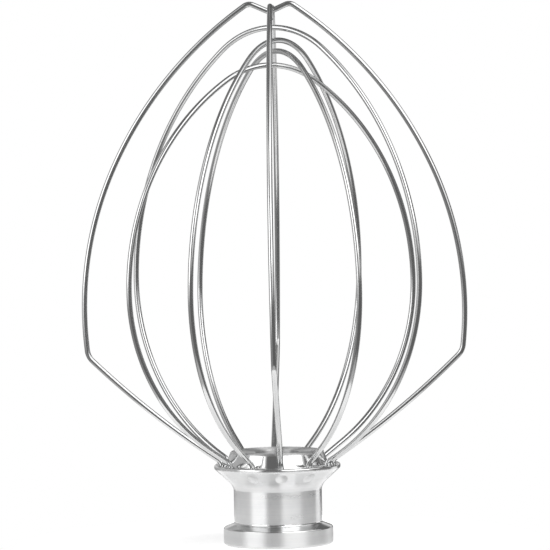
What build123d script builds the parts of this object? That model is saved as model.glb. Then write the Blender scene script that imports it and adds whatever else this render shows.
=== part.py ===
"""Six-loop wire whip for a stand mixer: a turned hub with twelve sockets and six bent wires.

Millimetres, +Z up, origin at the middle of the hub's base face, where the drive shaft enters.
"""

import os
from dataclasses import dataclass
from math import atan2, cos, degrees, hypot, radians, sin, tan

from build123d import *

# Drive shaft and cross pin of the mixer, with the room the hub leaves round them.
SHAFT_DIA = 12.7
SHAFT_CLEARANCE = 0.1
PIN_DIA = 4.76
PIN_CLEARANCE = 0.22
BORE_R = SHAFT_DIA / 2 + SHAFT_CLEARANCE
SLOT_W = PIN_DIA + 2 * PIN_CLEARANCE

# Cut for the cross pin: straight up from the base, then round to one side.
SLOT_AZ = 90.0
SLOT_LEG_Z = 10.4
SLOT_LEG_TURN = 32.0

# Wire, and the ring of sockets that holds the wires' feet.
WIRE_R = 0.8
SOCKET_CIRCLE_R = 16.3
SOCKET_CLEARANCE = 0.04
SOCKET_TURN = 6.0
SOCKET_LEAN = 18.0
SOCKET_DEPTH = 2.0
SOCKET_END_GAP = 0.1
FOOT_RISE = 0.35
FOOT_BEND_R = 1.9

# Hub, from the base face upward: flange, shoulder, neck, flare, rim, and the cap inside the ring of feet.
FLANGE_R = 16.1
FLANGE_H = 5.1
FLANGE_EDGE = 0.9
SHOULDER_TOP = 6.3
SHOULDER_EDGE = 0.6
NECK_R = 12.95
NECK_COVE = 0.7
FLARE_FROM = 16.25
FLARE_R = 4.4
FLARE_START = 12.0
FLARE_LEAN = 48.0
RIM_TOP = 23.6
RIM_LAND = 2.25
RIM_EDGE = 0.6
CAP_CLEARANCE = 0.1
CAP_SEAM = 0.4
CAP_LEAN = 24.0
CAP_TOP = 27.4
CAP_BEVEL = 0.25
CAP_DISH = 0.3
CAP_DISH_LAND = 1.2
CAP_BORE_EDGE = 0.2
BORE_EDGE = 0.5
RIM_R = SOCKET_CIRCLE_R + RIM_LAND
CAP_FOOT_R = SOCKET_CIRCLE_R - WIRE_R - SOCKET_CLEARANCE - CAP_CLEARANCE
CAP_EDGE_R = CAP_FOOT_R - (CAP_TOP - RIM_TOP) * tan(radians(CAP_LEAN))
FLARE_KNEE_R = NECK_R + FLARE_R * (cos(radians(FLARE_START)) - cos(radians(FLARE_LEAN)))
FLARE_KNEE_Z = FLARE_FROM + FLARE_R * (sin(radians(FLARE_LEAN)) - sin(radians(FLARE_START)))
RIM_UNDER = FLARE_KNEE_Z + (RIM_R - FLARE_KNEE_R) / tan(radians(FLARE_LEAN))

# Staking marks on the underside of the flare, one below each socket.
DIMPLE_DIA = 4.0
DIMPLE_DEPTH = 0.36

# Outer loops: a sharp dip between two humps at the crown, long flanks, a tight corner, a leg with a bow.
# The second one crosses under the first, so its dip is deeper.
OUTER_CROWN = 156.2
OUTER_CROSSING_GAP = 0.3
OUTER_HALF_WIDTH = 55.75
OUTER_DIP_R = 2.0
OUTER_DIP_RUN = 4.3
OUTER_HUMP_R = 2.6
OUTER_FLANK_R = 100.9
OUTER_CORNER_R = 5.0
OUTER_LEG_R = 260.0
OUTER_SWAY = -0.5
OUTER_DIP_TURN = 24.0
OUTER_UNDER_TURN = 34.0
OUTER_HUMP_TURN = 34.7
OUTER_SHOULDER_TURN = 30.7
OUTER_BELOW_TURN = 6.4

# Inner loops: egg shaped, nested one under the other at the crown, each with its own sway sideways.
INNER_WIDE = 48.3
INNER_NARROW = 47.7
INNER_TOP_R = 26.5
INNER_A_CROWN = 151.5
INNER_A_LEG = 2.0
INNER_A_SWAY = 1.0
INNER_B_CROWN = 147.7
INNER_B_LEG = 6.8
INNER_B_SWAY = -3.1
INNER_C_CROWN = 144.6
INNER_C_LEG = 9.0
INNER_C_SWAY = 2.0
INNER_D_CROWN = 140.5
INNER_D_LEG = 7.0


@dataclass(frozen=True)
class Bend:
    """One round stretch of a wire: its radius, its turn, downward positive, and the straight run after it."""

    radius: float
    turn: float
    run: float = 0.0


@dataclass(frozen=True)
class Loop:
    """One wire loop, given from its crown down to a foot.

    `bends` lead from the crown to the widest point. The one numbered `free` takes the radius that
    brings the wire out to `half_width`. `below` goes on past the widest point. An outer loop then
    has a tight `corner` and a leg bowed to the radius `bow`. An inner one has a last bend, of the
    radius that leaves a straight of length `leg` above the foot.
    """

    name: str
    azimuth: float
    crown: float
    half_width: float
    bends: tuple[Bend, ...]
    free: int
    below: tuple[Bend, ...] = ()
    corner: float = 0.0
    bow: float = 0.0
    leg: float = 0.0
    sway: float = 0.0

    def shape(self) -> list[Bend]:
        """Every bend from the crown to the last but one, with the free radius filled in."""
        heading = 0.0
        reach = 0.0
        free_share = 1.0
        for index, bend in enumerate(self.bends):
            share = abs(sin(radians(heading + bend.turn)) - sin(radians(heading)))
            heading += bend.turn
            reach += bend.run * cos(radians(heading))
            if index == self.free:
                free_share = share
            else:
                reach += share * bend.radius
        bends = [*self.bends, *self.below]
        bends[self.free] = Bend((self.half_width - reach) / free_share, bends[self.free].turn)
        return bends


def angular(name: str, azimuth: float, crown: float, dip: float, sway: float = 0.0) -> Loop:
    """Outer loop, with the dip turning up by so many degrees to its humps."""
    lower_flank = 90.0 - OUTER_HUMP_TURN - OUTER_SHOULDER_TURN
    bends = (
        Bend(OUTER_DIP_R, -dip, OUTER_DIP_RUN),
        Bend(OUTER_HUMP_R, dip + OUTER_HUMP_TURN),
        Bend(0.0, OUTER_SHOULDER_TURN),
        Bend(OUTER_FLANK_R, lower_flank),
    )
    below = (Bend(OUTER_FLANK_R, OUTER_BELOW_TURN),)
    corner, bow = OUTER_CORNER_R, OUTER_LEG_R
    return Loop(name, azimuth, crown, OUTER_HALF_WIDTH, bends, 2, below, corner, bow, sway=sway)


def egg(
    name: str, azimuth: float, crown: float, half_width: float, turn: float, leg: float, sway: float = 0.0
) -> Loop:
    """Inner loop, with a crown bend that turns by so many degrees and a straight leg of that length."""
    bends = (Bend(INNER_TOP_R, turn), Bend(0.0, 90.0 - turn))
    return Loop(name, azimuth, crown, half_width, bends, 1, leg=leg, sway=sway)


UNDER_CROWN = OUTER_CROWN - 2 * WIRE_R - OUTER_CROSSING_GAP
LOOPS = (
    angular("wire_outer_a", 0.0, OUTER_CROWN, OUTER_DIP_TURN),
    angular("wire_outer_b", 90.0, UNDER_CROWN, OUTER_UNDER_TURN, OUTER_SWAY),
    egg("wire_inner_a", -30.0, INNER_A_CROWN, INNER_WIDE, 40.0, INNER_A_LEG, INNER_A_SWAY),
    egg("wire_inner_b", 60.0, INNER_B_CROWN, INNER_WIDE, 38.6, INNER_B_LEG, INNER_B_SWAY),
    egg("wire_inner_c", -60.0, INNER_C_CROWN, INNER_NARROW, 37.7, INNER_C_LEG, INNER_C_SWAY),
    egg("wire_inner_d", 30.0, INNER_D_CROWN, INNER_NARROW, 32.6, INNER_D_LEG),
)
SIDES = (1, -1)
FEET = len(SIDES) * len(LOOPS)


def way_at(heading: float) -> Vector:
    """Unit step in a half's own plane, along a heading counted from straight out, up positive."""
    return Vector(cos(radians(heading)), sin(radians(heading)))


def angle_of(step: Vector) -> float:
    """Heading of a step in a half's own plane."""
    return degrees(atan2(step.Y, step.X))


def flat(point: Vector) -> tuple[float, float]:
    """A point of a half's own plane, as the pair that the drawing takes."""
    return point.X, point.Y


def foot_offset(side: int) -> float:
    """How far a foot stands beside its loop's middle plane, because the ring of sockets is turned."""
    return side * SOCKET_CIRCLE_R * sin(radians(SOCKET_TURN))


def half_plane(loop: Loop, side: int) -> Plane:
    """Plane of a loop's half: X outward along the crown wire, Y up from the foot, origin at the crown."""
    out = Vector(side, 0, 0).rotate(Axis.Z, loop.azimuth)
    across = Vector(0, 1, 0).rotate(Axis.Z, loop.azimuth)
    crown = across * loop.sway + Vector(0, 0, loop.crown)
    below_foot = across * foot_offset(side) + Vector(0, 0, RIM_TOP)
    return Plane(crown, x_dir=out, z_dir=out.cross(crown - below_foot))


def mouth_of(loop: Loop, side: int) -> Vector:
    """Middle of a socket's mouth, in the half's own plane."""
    drop = hypot(loop.crown - RIM_TOP, foot_offset(side) - loop.sway)
    return Vector(SOCKET_CIRCLE_R * cos(radians(SOCKET_TURN)), -drop)


def half_run(loop: Loop, side: int) -> Curve:
    """Centre line of one half of a loop, from the crown to the end of the foot in its socket."""
    foot_heading = -90.0 - SOCKET_LEAN
    foot_way = way_at(foot_heading)
    foot_top = mouth_of(loop, side) - foot_way * FOOT_RISE
    foot_end = mouth_of(loop, side) + foot_way * SOCKET_DEPTH
    foot_centre = foot_top + way_at(foot_heading + 90) * FOOT_BEND_R
    at = Vector(0, 0)
    heading = 0.0
    with BuildLine(half_plane(loop, side)) as run:
        for bend in loop.shape():
            JernArc(flat(at), flat(way_at(heading)), bend.radius, -bend.turn)
            inward = way_at(heading - 90) if bend.turn > 0 else way_at(heading + 90)
            centre = at + inward * bend.radius
            at = centre + (at - centre).rotate(Axis.Z, -bend.turn)
            heading -= bend.turn
            if bend.run:
                run_to = at + way_at(heading) * bend.run
                Line(flat(at), flat(run_to))
                at = run_to
        # The leg touches the last bend on one side and the foot's bend on the other.
        inward = way_at(heading - 90)
        to_foot = foot_centre - at
        free_r = to_foot.dot(to_foot) - loop.leg**2 - FOOT_BEND_R**2
        last_r = loop.corner or free_r / (2 * (FOOT_BEND_R + to_foot.dot(inward)))
        last_centre = at + inward * last_r
        span = foot_centre - last_centre
        toward = span.normalized()
        if loop.bow:
            near = loop.bow - last_r
            far = loop.bow + FOOT_BEND_R
            along = (near**2 - far**2 + span.length**2) / (2 * span.length)
            aside = (near**2 - along**2) ** 0.5
            bow_centre = last_centre + toward * along + toward.rotate(Axis.Z, -90) * aside
            leg_heading = angle_of(last_centre - bow_centre) - 90
            end_heading = angle_of(foot_centre - bow_centre) - 90
        else:
            leg = (span.length**2 - (last_r + FOOT_BEND_R) ** 2) ** 0.5
            leg_heading = angle_of(span) - degrees(atan2(last_r + FOOT_BEND_R, leg))
            end_heading = leg_heading
        leg_from = last_centre + way_at(leg_heading + 90) * last_r
        leg_to = foot_centre - way_at(end_heading + 90) * FOOT_BEND_R
        JernArc(flat(at), flat(way_at(heading)), last_r, leg_heading - heading)
        if loop.bow:
            JernArc(flat(leg_from), flat(way_at(leg_heading)), loop.bow, end_heading - leg_heading)
        else:
            Line(flat(leg_from), flat(leg_to))
        JernArc(flat(leg_to), flat(way_at(end_heading)), FOOT_BEND_R, foot_heading - end_heading)
        Line(flat(foot_top), flat(foot_end))
    return run.line


def socket_plane(loop: Loop, side: int) -> Plane:
    """Plane across a socket at its mouth, facing up along the wire's foot."""
    half = half_plane(loop, side)
    mouth = half.from_local_coords(flat(mouth_of(loop, side)))
    up = half.from_local_coords(flat(way_at(90 - SOCKET_LEAN))) - half.origin
    return Plane(mouth, z_dir=up)


# Hub: one turned piece.
with BuildPart() as hub:
    with BuildSketch(Plane.XZ) as section:
        with BuildLine():
            Polyline(
                (BORE_R, 0),
                (FLANGE_R, 0),
                (FLANGE_R, FLANGE_H),
                (NECK_R, SHOULDER_TOP),
                (NECK_R, FLARE_FROM),
            )
            RadiusArc((NECK_R, FLARE_FROM), (FLARE_KNEE_R, FLARE_KNEE_Z), FLARE_R)
            Polyline(
                (FLARE_KNEE_R, FLARE_KNEE_Z),
                (RIM_R, RIM_UNDER),
                (RIM_R, RIM_TOP),
                (CAP_FOOT_R, RIM_TOP),
                (CAP_FOOT_R - CAP_SEAM, RIM_TOP - CAP_SEAM),
                (CAP_FOOT_R - CAP_SEAM, RIM_TOP),
                (CAP_EDGE_R, CAP_TOP),
                (CAP_EDGE_R - CAP_DISH_LAND, CAP_TOP),
                (BORE_R, CAP_TOP - CAP_DISH),
                (BORE_R, 0),
            )
        make_face()
        for corner, radius in (
            ((FLANGE_R, 0), FLANGE_EDGE),
            ((FLANGE_R, FLANGE_H), SHOULDER_EDGE),
            ((NECK_R, SHOULDER_TOP), NECK_COVE),
            ((RIM_R, RIM_UNDER), RIM_EDGE),
            ((RIM_R, RIM_TOP), RIM_EDGE),
        ):
            fillet(section.vertices().sort_by_distance(corner)[0], radius)
        for corner, size in (
            ((CAP_EDGE_R, CAP_TOP), CAP_BEVEL),
            ((BORE_R, CAP_TOP - CAP_DISH), CAP_BORE_EDGE),
            ((BORE_R, 0), BORE_EDGE),
        ):
            chamfer(section.vertices().sort_by_distance(corner)[0], size)
    revolve(axis=Axis.Z)

    # Sockets, each along the foot of its own wire.
    with BuildSketch(*[socket_plane(loop, side) for loop in LOOPS for side in SIDES]):
        Circle(WIRE_R + SOCKET_CLEARANCE)
    extrude(amount=SOCKET_DEPTH + SOCKET_END_GAP, both=True, mode=Mode.SUBTRACT)

    # Staking marks: shallow round dents in the flare, square to it.
    flare_lean = radians(FLARE_LEAN)
    dent_r = (DIMPLE_DIA**2 / 4 + DIMPLE_DEPTH**2) / (2 * DIMPLE_DEPTH)
    dent_out = dent_r - DIMPLE_DEPTH
    dimple_z = RIM_UNDER - (RIM_R - SOCKET_CIRCLE_R) / tan(flare_lean)
    with Locations((0, 0, dimple_z - dent_out * sin(flare_lean))):
        with PolarLocations(SOCKET_CIRCLE_R + dent_out * cos(flare_lean), FEET, start_angle=SOCKET_TURN):
            Sphere(dent_r, mode=Mode.SUBTRACT)

    # Slot for the cross pin: up from the base, round to one side, ends left round by the cutter.
    slot_reach = FLANGE_R + SLOT_W
    slot_face = Plane.XZ.rotated((0, 0, SLOT_AZ + 90))
    with BuildSketch(slot_face):
        with Locations((0, SLOT_LEG_Z / 2)):
            Rectangle(SLOT_W, SLOT_LEG_Z)
        with Locations((0, SLOT_LEG_Z)):
            Circle(SLOT_W / 2)
    extrude(amount=slot_reach, mode=Mode.SUBTRACT)
    with BuildSketch(Plane.XZ.rotated((0, 0, SLOT_AZ))):
        with Locations((slot_reach / 2, SLOT_LEG_Z)):
            Rectangle(slot_reach, SLOT_W)
    revolve(axis=Axis.Z, revolution_arc=SLOT_LEG_TURN, mode=Mode.SUBTRACT)
    with BuildSketch(slot_face.rotated((0, 0, SLOT_LEG_TURN))):
        with Locations((0, SLOT_LEG_Z)):
            Circle(SLOT_W / 2)
    extrude(amount=slot_reach, mode=Mode.SUBTRACT)

os.makedirs("parts", exist_ok=True)
hub.part.label = "hub"
export_step(hub.part, "parts/hub.step")

# Wires: one round bar bent along each loop.
for loop in LOOPS:
    with BuildPart() as wire:
        with BuildLine() as path:
            for side in SIDES:
                add(half_run(loop, side))
        with BuildSketch(Plane(path.wire() @ 0, z_dir=path.wire() % 0)):
            Circle(WIRE_R)
        sweep(path=path.wire())
    wire.part.label = loop.name
    export_step(wire.part, f"parts/{loop.name}.step")
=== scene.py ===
"""Wire whip for a stand mixer: six polished wire loops in a turned hub, on a white studio floor."""

import logging
import math
from cmath import phase, rect
from dataclasses import dataclass, field
from enum import Enum
from math import cos, degrees, hypot, radians, sin, sqrt

import bmesh
import bpy
from mathutils import Matrix, Vector


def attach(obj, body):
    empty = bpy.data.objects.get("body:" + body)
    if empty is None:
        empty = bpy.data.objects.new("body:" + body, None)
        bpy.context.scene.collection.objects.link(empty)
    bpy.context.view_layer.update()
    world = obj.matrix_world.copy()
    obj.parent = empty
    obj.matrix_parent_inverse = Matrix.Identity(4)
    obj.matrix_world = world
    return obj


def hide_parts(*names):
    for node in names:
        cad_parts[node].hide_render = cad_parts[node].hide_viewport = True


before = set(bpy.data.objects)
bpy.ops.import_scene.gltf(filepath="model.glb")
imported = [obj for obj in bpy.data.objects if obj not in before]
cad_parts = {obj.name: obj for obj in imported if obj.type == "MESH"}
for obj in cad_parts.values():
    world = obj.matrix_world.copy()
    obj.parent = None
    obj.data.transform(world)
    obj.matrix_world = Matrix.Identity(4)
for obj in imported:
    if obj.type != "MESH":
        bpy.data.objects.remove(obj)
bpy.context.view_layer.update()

LOG = logging.getLogger("whip")
MM = 0.001
IMAGE_SIDE = 550
SENSOR = 36.0
CAMERA_AZIMUTH = 1.955
WIRE_MAP = "along"
# The spot of the wire's map that its cut ends take.
CUT_END_SPOT = (0.5, 0.0)
CARD_MAP = "card"
NOISE_ROUGHNESS = 0.55
WHITE = (1.0, 1.0, 1.0, 1.0)
# The Mix node's sockets for colours: the two that go in and the one that comes out.
MIX_DARK, MIX_PALE, MIX_RESULT = 6, 7, 2

Colour = tuple[float, float, float]
Span = tuple[float, float]
Socket = bpy.types.NodeSocket


class Board:
    """One node tree, with short ways to add nodes and join them."""

    def __init__(self, tree: bpy.types.NodeTree) -> None:
        """Take the tree of a material or of the world, and empty it."""
        self.tree = tree
        tree.nodes.clear()

    def node(self, kind: str, **settings: object) -> bpy.types.Node:
        """Add a node.

        Args:
            kind: The node's type, without its ShaderNode prefix.
            **settings: Properties of the node.

        Returns:
            The new node.
        """
        node = self.tree.nodes.new(f"ShaderNode{kind}")
        for name, value in settings.items():
            setattr(node, name, value)
        return node

    def fill(self, socket: Socket, value: object) -> None:
        """Fill one socket.

        Args:
            socket: The socket to fill.
            value: A number, a colour, or a socket to join it to.
        """
        if isinstance(value, Socket):
            self.tree.links.new(value, socket)
        else:
            socket.default_value = value

    def feed(self, node: bpy.types.Node, **inputs: object) -> bpy.types.Node:
        """Fill a node's sockets by their names.

        Args:
            node: The node to fill.
            **inputs: Numbers, colours or sockets by the socket's name, with _ for a space.

        Returns:
            The same node.
        """
        for name, value in inputs.items():
            self.fill(node.inputs[name.replace("_", " ")], value)
        return node

    def feed_in_order(self, node: bpy.types.Node, *values: object) -> bpy.types.Node:
        """Fill a node's first sockets in their order.

        Args:
            node: The node to fill.
            *values: Numbers, colours or sockets.

        Returns:
            The same node.
        """
        for socket, value in zip(node.inputs, values):
            self.fill(socket, value)
        return node

    def math(
        self, operation: str, first: object, second: object = 0.0, clamp: bool = False
    ) -> Socket:
        """Add a sum of two numbers or sockets, which may be kept within 0 and 1."""
        node = self.node("Math", operation=operation, use_clamp=clamp)
        return self.feed_in_order(node, first, second).outputs[0]

    def weigh(self, first: Socket, second: Socket, share: float) -> Socket:
        """Add two patterns, the first by its share and the second by the rest."""
        rest = self.math("MULTIPLY", second, 1 - share)
        return self.math("ADD", self.math("MULTIPLY", first, share), rest)

    def ramp(self, value: Socket, start: Span, end: Span = (0.0, 1.0)) -> Socket:
        """Carry a value from one span to another, in an S curve that stays within it.

        Args:
            value: The socket to carry over.
            start: The span that it comes from.
            end: The span that it goes to.

        Returns:
            The socket with the result.
        """
        node = self.node("MapRange", interpolation_type="SMOOTHSTEP")
        self.feed(node, Value=value, From_Min=start[0], From_Max=start[1])
        self.feed(node, To_Min=end[0], To_Max=end[1])
        return node.outputs[0]

    def band(self, value: Socket, span: Span, soft: float) -> Socket:
        """Mark the stretch between two values.

        Args:
            value: The socket to test.
            span: Where the stretch begins and ends.
            soft: Half the width of each soft edge.

        Returns:
            A socket that is 1 inside the stretch and 0 outside it.
        """
        low, high = span
        rise = self.ramp(value, (low - soft, low + soft))
        fall = self.ramp(value, (high - soft, high + soft), (1.0, 0.0))
        return self.math("MULTIPLY", rise, fall)

    def noise(self, place: Socket, scale: float, detail: float) -> Socket:
        """Add a soft random pattern.

        Args:
            place: The coordinates to read it at.
            scale: How many waves it has in a unit.
            detail: How many finer layers it has.

        Returns:
            The socket with its value.
        """
        node = self.node("TexNoise")
        self.feed(node, Vector=place, Scale=scale, Detail=detail, Roughness=NOISE_ROUGHNESS)
        return node.outputs[0]

    def grey(self, share: Socket, dark: Colour, pale: Colour) -> Socket:
        """Blend two colours.

        Args:
            share: How much of the pale one there is.
            dark: The colour at 0.
            pale: The colour at 1.

        Returns:
            The socket with the blended colour.
        """
        node = self.node("Mix", data_type="RGBA")
        self.fill(node.inputs[0], share)
        self.fill(node.inputs[MIX_DARK], (*dark, 1.0))
        self.fill(node.inputs[MIX_PALE], (*pale, 1.0))
        return node.outputs[MIX_RESULT]

    def seen(self) -> Socket:
        """Tell the rays that show a thing from those that only light a dull surface.

        Returns:
            A socket that is 1 to the eye, in metal and through glass, and 0 otherwise.
        """
        path = self.node("LightPath").outputs
        straight = self.math("ADD", path["Is Camera Ray"], path["Is Glossy Ray"])
        return self.math("ADD", straight, path["Is Transmission Ray"], clamp=True)

    def metal(
        self, colour: Socket, rough: Socket, height: Socket, relief: float, depth: float
    ) -> bpy.types.Node:
        """Add bare metal with a fine relief.

        Args:
            colour: The metal's colour.
            rough: Its roughness.
            height: The pattern of the relief.
            relief: How strongly the relief shows.
            depth: How deep the relief is.

        Returns:
            The metal's shader.
        """
        bump = self.node("Bump")
        self.feed(bump, Strength=relief, Distance=depth, Height=height)
        skin = self.node("BsdfPrincipled")
        self.feed(skin, Base_Color=colour, Metallic=1.0, Roughness=rough, Normal=bump.outputs[0])
        return skin

    def lay(self, shader: bpy.types.Node) -> None:
        """Lay a shader on the material's surface."""
        self.feed(self.node("OutputMaterial"), Surface=shader.outputs[0])


def new_material(name: str) -> tuple[bpy.types.Material, Board]:
    """Start a material.

    Args:
        name: The material's name.

    Returns:
        The material and its empty node board.
    """
    material = bpy.data.materials.new(name)
    material.use_nodes = True
    return material, Board(material.node_tree)


def new_object(name: str, bm: bmesh.types.BMesh) -> bpy.types.Object:
    """Turn a finished mesh into an object in the scene.

    Args:
        name: The object's name.
        bm: The mesh, which is freed.

    Returns:
        The object, with no finish yet.
    """
    mesh = bpy.data.meshes.new(name)
    bm.to_mesh(mesh)
    bm.free()
    thing = bpy.data.objects.new(name, mesh)
    bpy.context.scene.collection.objects.link(thing)
    return thing


def studio_way(azimuth: float, elevation: float = 0.0) -> Vector:
    """Turn an azimuth, anticlockwise from the camera's side, and an elevation into a direction."""
    turn, up = radians(CAMERA_AZIMUTH + azimuth), radians(elevation)
    return Vector((sin(turn) * cos(up), -cos(turn) * cos(up), sin(up)))


@dataclass(frozen=True)
class DrawnSteel:
    """Polished stainless wire, with faint lines left by the drawing die."""

    dark: Colour = (0.58, 0.585, 0.59)
    pale: Colour = (0.7, 0.7, 0.695)
    smooth: float = 0.1
    dull: float = 0.17
    lines_round: float = 26.0
    lines_along: float = 40.0
    line_detail: float = 3.0
    line_share: float = 0.6
    line_depth: float = 0.012 * MM
    relief: float = 0.03
    cloud_scale: float = 90.0
    cloud_detail: float = 3.0
    colour_span: Span = (0.35, 0.65)
    gloss_span: Span = (0.3, 0.7)

    def material(self) -> bpy.types.Material:
        """Build the wire's material.

        Returns:
            The material, which reads the map laid along each wire.
        """
        material, board = new_material("drawn_steel")
        along = board.node("UVMap", uv_map=WIRE_MAP).outputs[0]
        stretched = board.node("VectorMath", operation="MULTIPLY")
        board.feed_in_order(stretched, along, (self.lines_round, self.lines_along, 1.0))
        lines = board.noise(stretched.outputs[0], 1.0, self.line_detail)
        place = board.node("TexCoord").outputs["Object"]
        cloud = board.noise(place, self.cloud_scale, self.cloud_detail)
        tone = board.weigh(lines, cloud, self.line_share)
        colour = board.grey(board.ramp(tone, self.colour_span), self.dark, self.pale)
        rough = board.ramp(tone, self.gloss_span, (self.dull, self.smooth))
        board.lay(board.metal(colour, rough, lines, self.relief, self.line_depth))
        return material


@dataclass(frozen=True)
class TurnedMetal:
    """Satin turned metal of the hub, with fine turning rings and a few polished lands.

    The lands are given by their heights on the hub, each with half the width of its soft edge, and
    the bore by the distance from the axis over which its dull inside ends.
    """

    dark: Colour = (0.76, 0.765, 0.77)
    pale: Colour = (0.82, 0.82, 0.818)
    colour_span: Span = (0.35, 0.65)
    satin: float = 0.43
    satin_play: float = 0.03
    satin_span: Span = (0.7, 1.3)
    fine: float = 0.3
    bright: float = 0.1
    stretch: float = 0.95
    stretch_turn: float = 0.25
    shoulder: Span = (4.9 * MM, 6.9 * MM)
    shoulder_edge: float = 0.1 * MM
    neck: Span = (6.9 * MM, 23.2 * MM)
    neck_edge: float = 0.4 * MM
    rim: Span = (22.9 * MM, 26.95 * MM)
    rim_edge: float = 0.15 * MM
    bore: Span = (6.5 * MM, 6.6 * MM)
    bore_dull: float = 0.55
    ring_scale: float = 5200.0
    ring_detail: float = 2.0
    ring_share: float = 0.5
    ring_depth: float = 0.01 * MM
    broad_ratio: float = 9.0
    relief: float = 0.12
    cloud_scale: float = 160.0
    cloud_detail: float = 4.0

    def roughness(self, board: Board, out: Socket, height: Socket, grain: Socket) -> Socket:
        """Work out how dull each part of the hub is.

        Args:
            board: The material's node board.
            out: The distance from the hub's axis.
            height: The height on the hub.
            grain: The pattern that the satin varies with.

        Returns:
            The socket with the roughness.
        """
        smoothest, dullest = self.satin - self.satin_play, self.satin + self.satin_play
        satin = board.ramp(grain, self.satin_span, (smoothest, dullest))
        shoulder = board.band(height, self.shoulder, self.shoulder_edge)
        rim = board.band(height, self.rim, self.rim_edge)
        bore = board.ramp(out, self.bore, (1.0, 0.0))
        polish = board.math("SUBTRACT", board.math("MAXIMUM", shoulder, rim), bore, clamp=True)
        bright = board.math("MULTIPLY", polish, self.satin - self.bright)
        neck = board.band(height, self.neck, self.neck_edge)
        fine = board.math("MULTIPLY", neck, self.satin - self.fine)
        rough = board.math("SUBTRACT", satin, board.math("MAXIMUM", fine, bright))
        return board.math("MAXIMUM", rough, board.math("MULTIPLY", bore, self.bore_dull))

    def material(self) -> bpy.types.Material:
        """Build the hub's material.

        Returns:
            The material, which works from the distance to the hub's axis and the height on it.
        """
        material, board = new_material("turned_metal")
        place = board.node("TexCoord").outputs["Object"]
        x, y, height = board.feed(board.node("SeparateXYZ"), Vector=place).outputs
        squares = board.math("ADD", board.math("MULTIPLY", x, x), board.math("MULTIPLY", y, y))
        out = board.math("SQRT", squares)
        profile = board.feed(board.node("CombineXYZ"), X=out, Y=height).outputs[0]
        rings = board.noise(profile, self.ring_scale, self.ring_detail)
        broad = board.noise(profile, self.ring_scale / self.broad_ratio, self.ring_detail)
        cloud = board.noise(place, self.cloud_scale, self.cloud_detail)
        tone = board.weigh(rings, cloud, self.ring_share)
        colour = board.grey(board.ramp(tone, self.colour_span), self.dark, self.pale)
        rough = self.roughness(board, out, height, board.math("ADD", broad, cloud))
        skin = board.metal(colour, rough, rings, self.relief, self.ring_depth)
        round_axis = board.node("Tangent", direction_type="RADIAL", axis="Z")
        board.feed(skin, Anisotropic=self.stretch, Anisotropic_Rotation=self.stretch_turn)
        board.feed(skin, Tangent=round_axis.outputs[0])
        board.lay(skin)
        return material


@dataclass(frozen=True)
class WhiteFloor:
    """White floor that keeps a soft shadow, and glows more outward so that its edge is lost."""

    glow: float = 0.62
    edge_glow: float = 0.9
    fade: Span = (26 * MM, 72 * MM)
    paint: float = 0.8
    paint_play: float = 0.02
    grain_scale: float = 60.0
    grain_detail: float = 3.0
    grain_span: Span = (0.3, 0.7)

    def material(self) -> bpy.types.Material:
        """Build the floor's material.

        Returns:
            The material, which is white to the eye and in the metal.
        """
        material, board = new_material("white_floor")
        place = board.node("TexCoord").outputs["Object"]
        grain = board.noise(place, self.grain_scale, self.grain_detail)
        pale = (self.paint,) * 3
        deep = (self.paint - self.paint_play,) * 3
        paint = board.node("BsdfDiffuse")
        board.feed(paint, Color=board.grey(board.ramp(grain, self.grain_span), deep, pale))
        out = board.node("VectorMath", operation="LENGTH")
        board.feed(out, Vector=place)
        glow = board.ramp(out.outputs["Value"], self.fade, (self.glow, self.edge_glow))
        light = board.node("Emission")
        board.feed(light, Strength=board.math("MULTIPLY", board.seen(), glow))
        both = board.node("AddShader")
        board.lay(board.feed_in_order(both, paint.outputs[0], light.outputs[0]))
        return material


class LoopForm(Enum):
    """The two shapes that the wire is bent to."""

    ANGULAR = "outer"
    EGG = "inner"


@dataclass(frozen=True)
class Bend:
    """One round stretch of wire, and the straight run after it.

    The turn is in degrees, downward positive.
    """

    radius: float
    turn: float
    run: float = 0.0


@dataclass(frozen=True)
class WireStock:
    """Sizes that all the loops share: the wire, and the way that its feet stand in the hub."""

    radius: float = 0.8 * MM
    socket_circle: float = 16.3 * MM
    socket_turn: float = 6.0
    socket_lean: float = 18.0
    socket_depth: float = 2.0 * MM
    rim_top: float = 23.6 * MM
    foot_rise: float = 0.35 * MM
    foot_bend: float = 1.9 * MM
    sides: int = 24
    step: float = 1.6 * MM
    step_turn: float = 3.0


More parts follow.
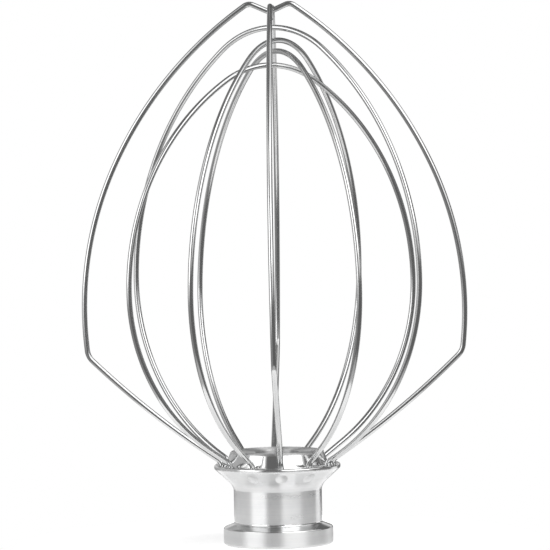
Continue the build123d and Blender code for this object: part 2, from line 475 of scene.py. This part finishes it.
@dataclass
class WireLoop:
    """One wire loop, from a foot over the crown to the other foot.

    The crown bend is the dip of an angular loop, or the round top of an egg. A leg is the straight
    that an egg leaves above its foot. An angular loop has a tight corner and a bowed leg instead.
    Each half is drawn in its own plane with complex numbers, outward and upward from the crown.
    Directions are in degrees, 0 outward and 90 upward.
    """

    name: str
    form: LoopForm
    azimuth: float
    crown: float
    half_width: float
    crown_bend: Bend
    leg: float = 0.0
    sway: float = 0.0
    hump_r: float = 2.6 * MM
    hump_turn: float = 34.7
    shoulder_turn: float = 30.7
    flank_r: float = 100.9 * MM
    below_turn: float = 6.4
    corner_r: float = 5.0 * MM
    bow_r: float = 260.0 * MM
    stock: WireStock = field(default_factory=WireStock)

    def bends(self) -> list[Bend]:
        """Work out the bends from the crown down to the last above the leg.

        Returns:
            The bends, with the one that carries the wire out to its half width solved.
        """
        crown = self.crown_bend
        if self.form is LoopForm.EGG:
            reach = crown.radius * sin(radians(crown.turn))
            side_r = (self.half_width - reach) / (1 - sin(radians(crown.turn)))
            return [crown, Bend(side_r, 90 - crown.turn)]
        dip = radians(crown.turn)
        first = radians(self.hump_turn)
        second = radians(self.hump_turn + self.shoulder_turn)
        dip_reach = crown.radius * sin(dip) + crown.run * cos(dip)
        top_reach = dip_reach + self.hump_r * (sin(first) + sin(dip))
        reach = top_reach + self.flank_r * (1 - sin(second))
        shoulder_r = (self.half_width - reach) / (sin(second) - sin(first))
        return [
            Bend(crown.radius, -crown.turn, crown.run),
            Bend(self.hump_r, crown.turn + self.hump_turn),
            Bend(shoulder_r, self.shoulder_turn),
            Bend(self.flank_r, 90 - self.hump_turn - self.shoulder_turn + self.below_turn),
        ]

    def arc(self, at: complex, heading: float, bend: Bend) -> list[complex]:
        """Follow one bend.

        Args:
            at: Where it begins.
            heading: The wire's direction there.
            bend: The bend.

        Returns:
            Points along it without the first.
        """
        inward = rect(bend.radius, radians(heading - math.copysign(90, bend.turn)))
        length = bend.radius * radians(abs(bend.turn))
        steps = max(abs(bend.turn) / self.stock.step_turn, length / self.stock.step)
        count = max(2, math.ceil(steps))
        turns = [-radians(bend.turn) * k / count for k in range(1, count + 1)]
        centre = at + inward
        return [centre - inward * rect(1, turn) for turn in turns]

    def straight(self, start: complex, end: complex) -> list[complex]:
        """Follow a straight.

        Args:
            start: Where it begins.
            end: Where it ends.

        Returns:
            Points along it without the first.
        """
        count = max(1, math.ceil(abs(end - start) / self.stock.step))
        return [start + (end - start) * k / count for k in range(1, count + 1)]

    def straight_leg(
        self, at: complex, heading: float, foot: complex
    ) -> tuple[list[complex], float]:
        """Follow an egg's lower side and the straight leg below it.

        Args:
            at: Where the lower side begins.
            heading: The wire's direction there.
            foot: The centre of the foot's own bend.

        Returns:
            Points along them without the first, and the leg's direction.
        """
        foot_bend = self.stock.foot_bend
        to_foot = foot - at
        inside = (to_foot * rect(1, radians(90 - heading))).real
        side_r = (abs(to_foot) ** 2 - self.leg**2 - foot_bend**2) / (2 * (foot_bend + inside))
        span = foot - (at + rect(side_r, radians(heading - 90)))
        leg_heading = degrees(phase(span) - math.atan2(side_r + foot_bend, self.leg))
        line = self.arc(at, heading, Bend(side_r, heading - leg_heading))
        line += self.straight(line[-1], line[-1] + rect(self.leg, radians(leg_heading)))
        return line, leg_heading

    def bowed_leg(self, at: complex, heading: float, foot: complex) -> tuple[list[complex], float]:
        """Follow an angular loop's tight corner and the bowed leg below it.

        Args:
            at: Where the corner begins.
            heading: The wire's direction there.
            foot: The centre of the foot's own bend.

        Returns:
            Points along them without the first, and the leg's direction at its end.
        """
        corner = at + rect(self.corner_r, radians(heading - 90))
        span = foot - corner
        near, far = self.bow_r - self.corner_r, self.bow_r + self.stock.foot_bend
        along = (near**2 - far**2 + abs(span) ** 2) / (2 * abs(span))
        bow = corner + span / abs(span) * complex(along, -sqrt(near**2 - along**2))
        bow_heading = degrees(phase(corner - bow)) - 90
        leg_heading = degrees(phase(foot - bow)) - 90
        line = self.arc(at, heading, Bend(self.corner_r, heading - bow_heading))
        line += self.arc(line[-1], bow_heading, Bend(self.bow_r, bow_heading - leg_heading))
        return line, leg_heading

    def half_line(self, mouth: complex) -> list[complex]:
        """Draw one half of the loop in its own plane.

        Args:
            mouth: Where the foot enters its socket.

        Returns:
            Points from the crown to the end of the foot.
        """
        stock = self.stock
        foot_heading = -90 - stock.socket_lean
        foot_way = rect(1, radians(foot_heading))
        foot = mouth - foot_way * stock.foot_rise + foot_way * 1j * stock.foot_bend
        line = [0j]
        heading = 0.0
        for bend in self.bends():
            line += self.arc(line[-1], heading, bend)
            heading -= bend.turn
            if bend.run:
                line += self.straight(line[-1], line[-1] + rect(bend.run, radians(heading)))
        draw_leg = self.straight_leg if self.form is LoopForm.EGG else self.bowed_leg
        leg, leg_heading = draw_leg(line[-1], heading, foot)
        line += leg
        line += self.arc(line[-1], leg_heading, Bend(stock.foot_bend, leg_heading - foot_heading))
        line += self.straight(line[-1], mouth + foot_way * stock.socket_depth)
        return line

    def half(self, side: int) -> list[Vector]:
        """Stand one half of the loop up between its crown and its socket.

        Args:
            side: 1 or -1, the side that the half stands on.

        Returns:
            Points from the crown to the end of the foot.
        """
        stock = self.stock
        turn = Matrix.Rotation(radians(self.azimuth), 3, "Z")
        out, across = turn @ Vector((side, 0, 0)), turn @ Vector((0, 1, 0))
        reach = stock.socket_circle * cos(radians(stock.socket_turn))
        beside = side * stock.socket_circle * sin(radians(stock.socket_turn))
        crown = across * self.sway + Vector((0, 0, self.crown))
        up = (crown - across * beside - Vector((0, 0, stock.rim_top))).normalized()
        mouth = complex(reach, -hypot(self.crown - stock.rim_top, beside - self.sway))
        return [crown + out * point.real + up * point.imag for point in self.half_line(mouth)]

    def rings(self, bm: bmesh.types.BMesh, line: list[Vector]) -> list[list[bmesh.types.BMVert]]:
        """Set a ring of points round each point of the loop, with no twist along it.

        Args:
            bm: The mesh that they go into.
            line: The loop's middle line.

        Returns:
            The rings.
        """
        sides, last = self.stock.sides, len(line) - 1
        spans = [(line[max(k - 1, 0)], line[min(k + 1, last)]) for k in range(len(line))]
        ways = [(end - start).normalized() for start, end in spans]
        angles = [math.tau * s / sides for s in range(sides)]
        normal = ways[0].orthogonal().normalized()
        rings = []
        for k, point in enumerate(line):
            if k:
                normal = ways[k - 1].rotation_difference(ways[k]) @ normal
            side_way = ways[k].cross(normal)
            spokes = [(normal * cos(a) + side_way * sin(a)) * self.stock.radius for a in angles]
            rings.append([bm.verts.new(point + spoke) for spoke in spokes])
        return rings

    def build(self) -> bpy.types.Object:
        """Make the wire's round skin along the loop.

        Returns:
            The wire, closed at both ends, with a map laid round it and along it.
        """
        line = self.half(-1)[:0:-1] + self.half(1)
        lengths = [0.0]
        for start, end in zip(line, line[1:]):
            lengths.append(lengths[-1] + (end - start).length)
        sides = self.stock.sides
        bm = bmesh.new()
        rings = self.rings(bm, line)
        layer = bm.loops.layers.uv.new(WIRE_MAP)
        for k, (ring, above) in enumerate(zip(rings, rings[1:])):
            for s in range(sides):
                t = (s + 1) % sides
                face = bm.faces.new((ring[s], ring[t], above[t], above[s]))
                face.smooth = True
                spots = ((s, k), (s + 1, k), (s + 1, k + 1), (s, k + 1))
                for corner, (around, row) in zip(face.loops, spots):
                    corner[layer].uv = (around / sides, lengths[row])
        for ring in (rings[0][::-1], rings[-1]):
            cap = bm.faces.new(ring)
            for edge in cap.edges:
                edge.smooth = False
            for corner in cap.loops:
                corner[layer].uv = CUT_END_SPOT
        return new_object(self.name.replace("wire", "loop"), bm)

    def dress(self, wire: bpy.types.Object, finish: bpy.types.Material) -> None:
        """Give the wire its finish and its place in the frame.

        Args:
            wire: The wire made by build.
            finish: The wire's material.
        """
        wire.data.materials.append(finish)
        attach(wire, "root")
        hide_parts(self.name)


@dataclass
class Cage:
    """The six nested loops, each turned a step on from another."""

    outer_crown: float = 156.2 * MM
    outer_half_width: float = 55.75 * MM
    dip_r: float = 2.0 * MM
    dip_run: float = 4.3 * MM
    crossing_gap: float = 0.3 * MM
    wide: float = 48.3 * MM
    narrow: float = 47.7 * MM
    top_r: float = 26.5 * MM
    stock: WireStock = field(default_factory=WireStock)

    def angular(
        self, name: str, azimuth: float, crown: float, dip_turn: float, sway: float = 0.0
    ) -> WireLoop:
        """Plan an angular loop.

        Args:
            name: The node that it stands for.
            azimuth: The way that it faces.
            crown: The height of its dip.
            dip_turn: How steeply the dip rises, in degrees.
            sway: How far its crown stands aside.

        Returns:
            The loop.
        """
        dip = Bend(self.dip_r, dip_turn, self.dip_run)
        form, width = LoopForm.ANGULAR, self.outer_half_width
        return WireLoop(name, form, azimuth, crown, width, dip, sway=sway, stock=self.stock)

    def egg(
        self,
        name: str,
        azimuth: float,
        crown: float,
        half_width: float,
        top_turn: float,
        leg: float,
        sway: float = 0.0,
    ) -> WireLoop:
        """Plan an egg-shaped loop.

        Args:
            name: The node that it stands for.
            azimuth: The way that it faces.
            crown: The height of its top.
            half_width: Its reach from the axis.
            top_turn: How far its round top goes, in degrees.
            leg: The straight above its foot.
            sway: How far its crown stands aside.

        Returns:
            The loop.
        """
        top = Bend(self.top_r, top_turn)
        form = LoopForm.EGG
        return WireLoop(name, form, azimuth, crown, half_width, top, leg, sway, stock=self.stock)

    def loops(self) -> list[WireLoop]:
        """List the loops from the outermost crown inward.

        Returns:
            The six loops.
        """
        over = self.outer_crown
        under = over - 2 * self.stock.radius - self.crossing_gap
        return [
            self.angular("wire_outer_a", azimuth=0, crown=over, dip_turn=24),
            self.angular("wire_outer_b", azimuth=90, crown=under, dip_turn=34, sway=-0.5 * MM),
            self.egg(
                "wire_inner_a",
                azimuth=-30,
                crown=151.5 * MM,
                half_width=self.wide,
                top_turn=40.0,
                leg=2.0 * MM,
                sway=1.0 * MM,
            ),
            self.egg(
                "wire_inner_b",
                azimuth=60,
                crown=147.7 * MM,
                half_width=self.wide,
                top_turn=38.6,
                leg=6.8 * MM,
                sway=-3.1 * MM,
            ),
            self.egg(
                "wire_inner_c",
                azimuth=-60,
                crown=144.6 * MM,
                half_width=self.narrow,
                top_turn=37.7,
                leg=9.0 * MM,
                sway=2.0 * MM,
            ),
            self.egg(
                "wire_inner_d",
                azimuth=30,
                crown=140.5 * MM,
                half_width=self.narrow,
                top_turn=32.6,
                leg=7.0 * MM,
            ),
        ]

    def build(self, finish: bpy.types.Material) -> None:
        """Make and dress every loop.

        Args:
            finish: The wires' material.
        """
        for loop in self.loops():
            wire = loop.build()
            loop.dress(wire, finish)
            LOG.info("%s: %d points, %s loop", wire.name, len(wire.data.vertices), loop.form.value)


@dataclass
class Hub:
    """The turned hub that carries the loops, which is the solid itself."""

    node: str = "hub"

    def dress(self, finish: bpy.types.Material) -> None:
        """Give the hub its finish.

        Args:
            finish: The hub's material.
        """
        mesh = bpy.data.objects[self.node].data
        mesh.materials.clear()
        mesh.materials.append(finish)
        LOG.info("%s: %d points", self.node, len(mesh.vertices))


@dataclass(frozen=True)
class GreyCard:
    """Grey card with soft edges, which leaves a dark streak in polished metal."""

    level: float
    soft_across: float
    soft_up: float

    def material(self, name: str) -> bpy.types.Material:
        """Build the card's material.

        Args:
            name: The material's name.

        Returns:
            The material, which reads the map laid over the card from edge to edge.
        """
        material, board = new_material(name)
        spot = board.node("UVMap", uv_map=CARD_MAP).outputs[0]
        parts = board.feed(board.node("SeparateXYZ"), Vector=spot)
        share: Socket | float = 1.0
        for place, soft in zip(parts.outputs, (self.soft_across, self.soft_up)):
            if soft:
                share = board.math("MULTIPLY", board.band(place, (soft, 1 - soft), soft), share)
        clear = board.node("BsdfTransparent")
        face = board.feed(board.node("Emission"), Strength=self.level)
        both = board.node("MixShader")
        board.lay(board.feed_in_order(both, share, clear.outputs[0], face.outputs[0]))
        return material


@dataclass(frozen=True)
class Card:
    """One curved card round the whip, by the way it lies from there, in degrees.

    Azimuths are counted from the camera's side, anticlockwise seen from above, and elevations from
    the level. Cards that adjoin overlap by twice the soft edge, so that no white shows between.
    """

    name: str
    azimuths: Span
    elevations: Span
    level: float
    soft: float = 4.0
    step: float = 3.0
    hidden_from: tuple[str, ...] = ("camera", "diffuse", "shadow", "transmission")

    def finish(self) -> GreyCard:
        """Plan the card's finish, with no soft edge where a card closes on itself.

        Returns:
            The finish.
        """
        (left, right), (low, high) = self.azimuths, self.elevations
        soft_across = 0.0 if right - left >= 360 else self.soft / (right - left)
        return GreyCard(self.level, soft_across, self.soft / (high - low))

    def build(self, middle: Vector, radius: float) -> bpy.types.Object:
        """Make the card.

        Args:
            middle: The point that it curves round.
            radius: Its distance from there.

        Returns:
            The card, which nothing but polished metal shows.
        """
        (left, right), (low, high) = self.azimuths, self.elevations
        columns = math.ceil((right - left) / self.step)
        rows = math.ceil((high - low) / self.step)
        turns = [left + (right - left) * k / columns for k in range(columns + 1)]
        rises = [low + (high - low) * row / rows for row in range(rows + 1)]
        bm = bmesh.new()
        layer = bm.loops.layers.uv.new(CARD_MAP)
        grid = [
            [bm.verts.new(middle + studio_way(turn, rise) * radius) for turn in turns]
            for rise in rises
        ]
        for row in range(rows):
            for k in range(columns):
                spots = ((row, k), (row, k + 1), (row + 1, k + 1), (row + 1, k))
                face = bm.faces.new([grid[r][c] for r, c in spots])
                for corner, (r, c) in zip(face.loops, spots):
                    corner[layer].uv = (c / columns, r / rows)
        card = new_object(self.name, bm)
        card.data.materials.append(self.finish().material(self.name))
        for ray in self.hidden_from:
            setattr(card, f"visible_{ray}", False)
        return card


@dataclass(frozen=True)
class SoftLamp:
    """One soft lamp that faces the whip.

    Its azimuth is counted as a card's is, away is its level distance from the whip, rise its height
    above the whip's middle, and power is in watts.
    """

    name: str
    azimuth: float
    away: float
    rise: float
    size: tuple[float, float]
    power: float

    def hang(self, middle: Vector) -> None:
        """Hang the lamp.

        Args:
            middle: The point that it faces.
        """
        light = bpy.data.lights.new(self.name, "AREA")
        light.shape = "RECTANGLE"
        light.size, light.size_y = self.size
        light.energy = self.power
        place = studio_way(self.azimuth) * self.away + Vector((0, 0, self.rise)) + middle
        lamp = bpy.data.objects.new(self.name, light)
        lamp.location = place
        lamp.rotation_euler = (middle - place).to_track_quat("-Z", "Y").to_euler()
        lamp.visible_camera = False
        bpy.context.scene.collection.objects.link(lamp)
        LOG.info("%s: %.1f W", self.name, self.power)


@dataclass
class FloorBoard:
    """Round board under the hub."""

    radius: float = 78 * MM
    rings: int = 6
    sides: int = 64

    def lay(self, finish: bpy.types.Material) -> None:
        """Lay the board.

        Args:
            finish: The board's material.
        """
        bm = bmesh.new()
        turns = [math.tau * s / self.sides for s in range(self.sides)]
        radii = [self.radius * k / self.rings for k in range(1, self.rings + 1)]
        rings = [[bm.verts.new((r * cos(t), r * sin(t), 0)) for t in turns] for r in radii]
        bm.faces.new(rings[0])
        for inner, outer in zip(rings, rings[1:]):
            for s in range(self.sides):
                t = (s + 1) % self.sides
                bm.faces.new((inner[s], outer[s], outer[t], inner[t]))
        floor = new_object("floor", bm)
        floor.data.materials.append(finish)
        LOG.info("floor: %.2f m across", 2 * self.radius)


@dataclass
class Studio:
    """White studio: white all round, grey cards that shape the metal, and soft lamps.

    The lamps are a wide low one at the left in front and a high one at the right. Each card hangs
    a little further out than the one before it, so that no two lie in the same place.
    """

    fill: float = 0.35
    card_r: float = 1.0
    card_step: float = 4 * MM
    middle: Vector = field(default_factory=lambda: Vector((0, 0, 80 * MM)))
    cards: tuple[Card, ...] = (
        Card("card_horizon", (138, 222), (-1, 16), 0.68),
        Card("card_low_front", (-34, 121), (-42, 9), 0.16),
        Card("card_low_right", (137, 188), (-42, 9), 0.18),
        Card("card_low_back", (180, 239), (-42, 1), 0.36),
        Card("card_low_left", (231, 334), (-42, -1), 0.3),
        Card("card_under", (-180, 180), (-84, -30), 0.6),
        Card("card_gap", (-33, 13), (1, 76), 0.15),
        Card("card_right_side", (64, 126), (1, 32), 0.18),
        Card("card_back_right", (118, 194), (1, 76), 0.14),
        Card("card_back_left", (186, 270), (24, 76), 0.2),
        Card("card_back_left_low", (182, 286), (-7, 32), 0.48),
        Card("card_left_high", (262, 335), (46, 76), 0.16),
        Card("card_top", (-180, 180), (68, 90), 0.16),
    )
    lamps: tuple[SoftLamp, ...] = (
        SoftLamp("lamp_left", azimuth=-53, away=1.16, rise=0.35, size=(0.85, 0.7), power=2.2),
        SoftLamp("lamp_right", azimuth=38, away=0.96, rise=0.72, size=(1.05, 1.05), power=4.2),
    )

    def paint_backdrop(self) -> None:
        """Build the world: white to the eye and in the metal, with a soft fill for the floor."""
        world = bpy.data.worlds.new("studio")
        world.use_nodes = True
        bpy.context.scene.world = world
        board = Board(world.node_tree)
        shown = board.math("MULTIPLY", board.seen(), 1.0 - self.fill)
        sky = board.node("Background")
        board.feed(sky, Color=WHITE, Strength=board.math("ADD", shown, self.fill))
        board.feed(board.node("OutputWorld"), Surface=sky.outputs[0])

    def hang_cards(self) -> None:
        """Hang the grey cards round the whip."""
        for k, plan in enumerate(self.cards):
            card = plan.build(self.middle, self.card_r + k * self.card_step)
            LOG.info("%s: level %.2f", card.name, plan.level)

    def hang_lamps(self) -> None:
        """Hang the lamps."""
        for lamp in self.lamps:
            lamp.hang(self.middle)


@dataclass(frozen=True)
class PhotoCamera:
    """The camera, where the photograph was taken from."""

    azimuth: float = CAMERA_AZIMUTH
    distance: float = 1.1018
    height: float = 0.1249
    pan: float = -0.017
    tilt: float = 2.384
    roll: float = -1.032
    focal_px: float = 3760.9
    nearest: float = 0.05
    farthest: float = 20.0

    def build(self) -> None:
        """Set the camera up."""
        lens = bpy.data.cameras.new("photo_camera")
        lens.sensor_width = SENSOR
        lens.lens = self.focal_px * SENSOR / IMAGE_SIDE
        lens.clip_start, lens.clip_end = self.nearest, self.farthest
        camera = bpy.data.objects.new("photo_camera", lens)
        azimuth, yaw = radians(self.azimuth), radians(self.azimuth + self.pan)
        tilt, roll = radians(self.tilt), radians(self.roll)
        ahead = Vector((-sin(yaw) * cos(tilt), cos(yaw) * cos(tilt), -sin(tilt)))
        level = Vector((cos(yaw), sin(yaw), 0))
        up = level.cross(ahead)
        right = level * cos(roll) + up * sin(roll)
        upright = up * cos(roll) - level * sin(roll)
        turn = Matrix((right, upright, -ahead)).transposed().to_4x4()
        x, y = sin(azimuth) * self.distance, -cos(azimuth) * self.distance
        camera.matrix_world = Matrix.Translation((x, y, self.height)) @ turn
        bpy.context.scene.collection.objects.link(camera)
        bpy.context.scene.camera = camera
        LOG.info("camera: %.0f mm lens at %.2f m", lens.lens, self.distance)


def main() -> None:
    """Build the whip and the studio round it."""
    logging.basicConfig(level=logging.INFO, format="%(name)s: %(message)s")
    LOG.info("frame: %d solids", len(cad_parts))
    bpy.context.scene.view_settings.view_transform = "Standard"
    PhotoCamera().build()
    Cage().build(DrawnSteel().material())
    Hub().dress(TurnedMetal().material())
    studio = Studio()
    studio.paint_backdrop()
    studio.hang_cards()
    FloorBoard().lay(WhiteFloor().material())
    studio.hang_lamps()


if __name__ == "__main__":
    main()
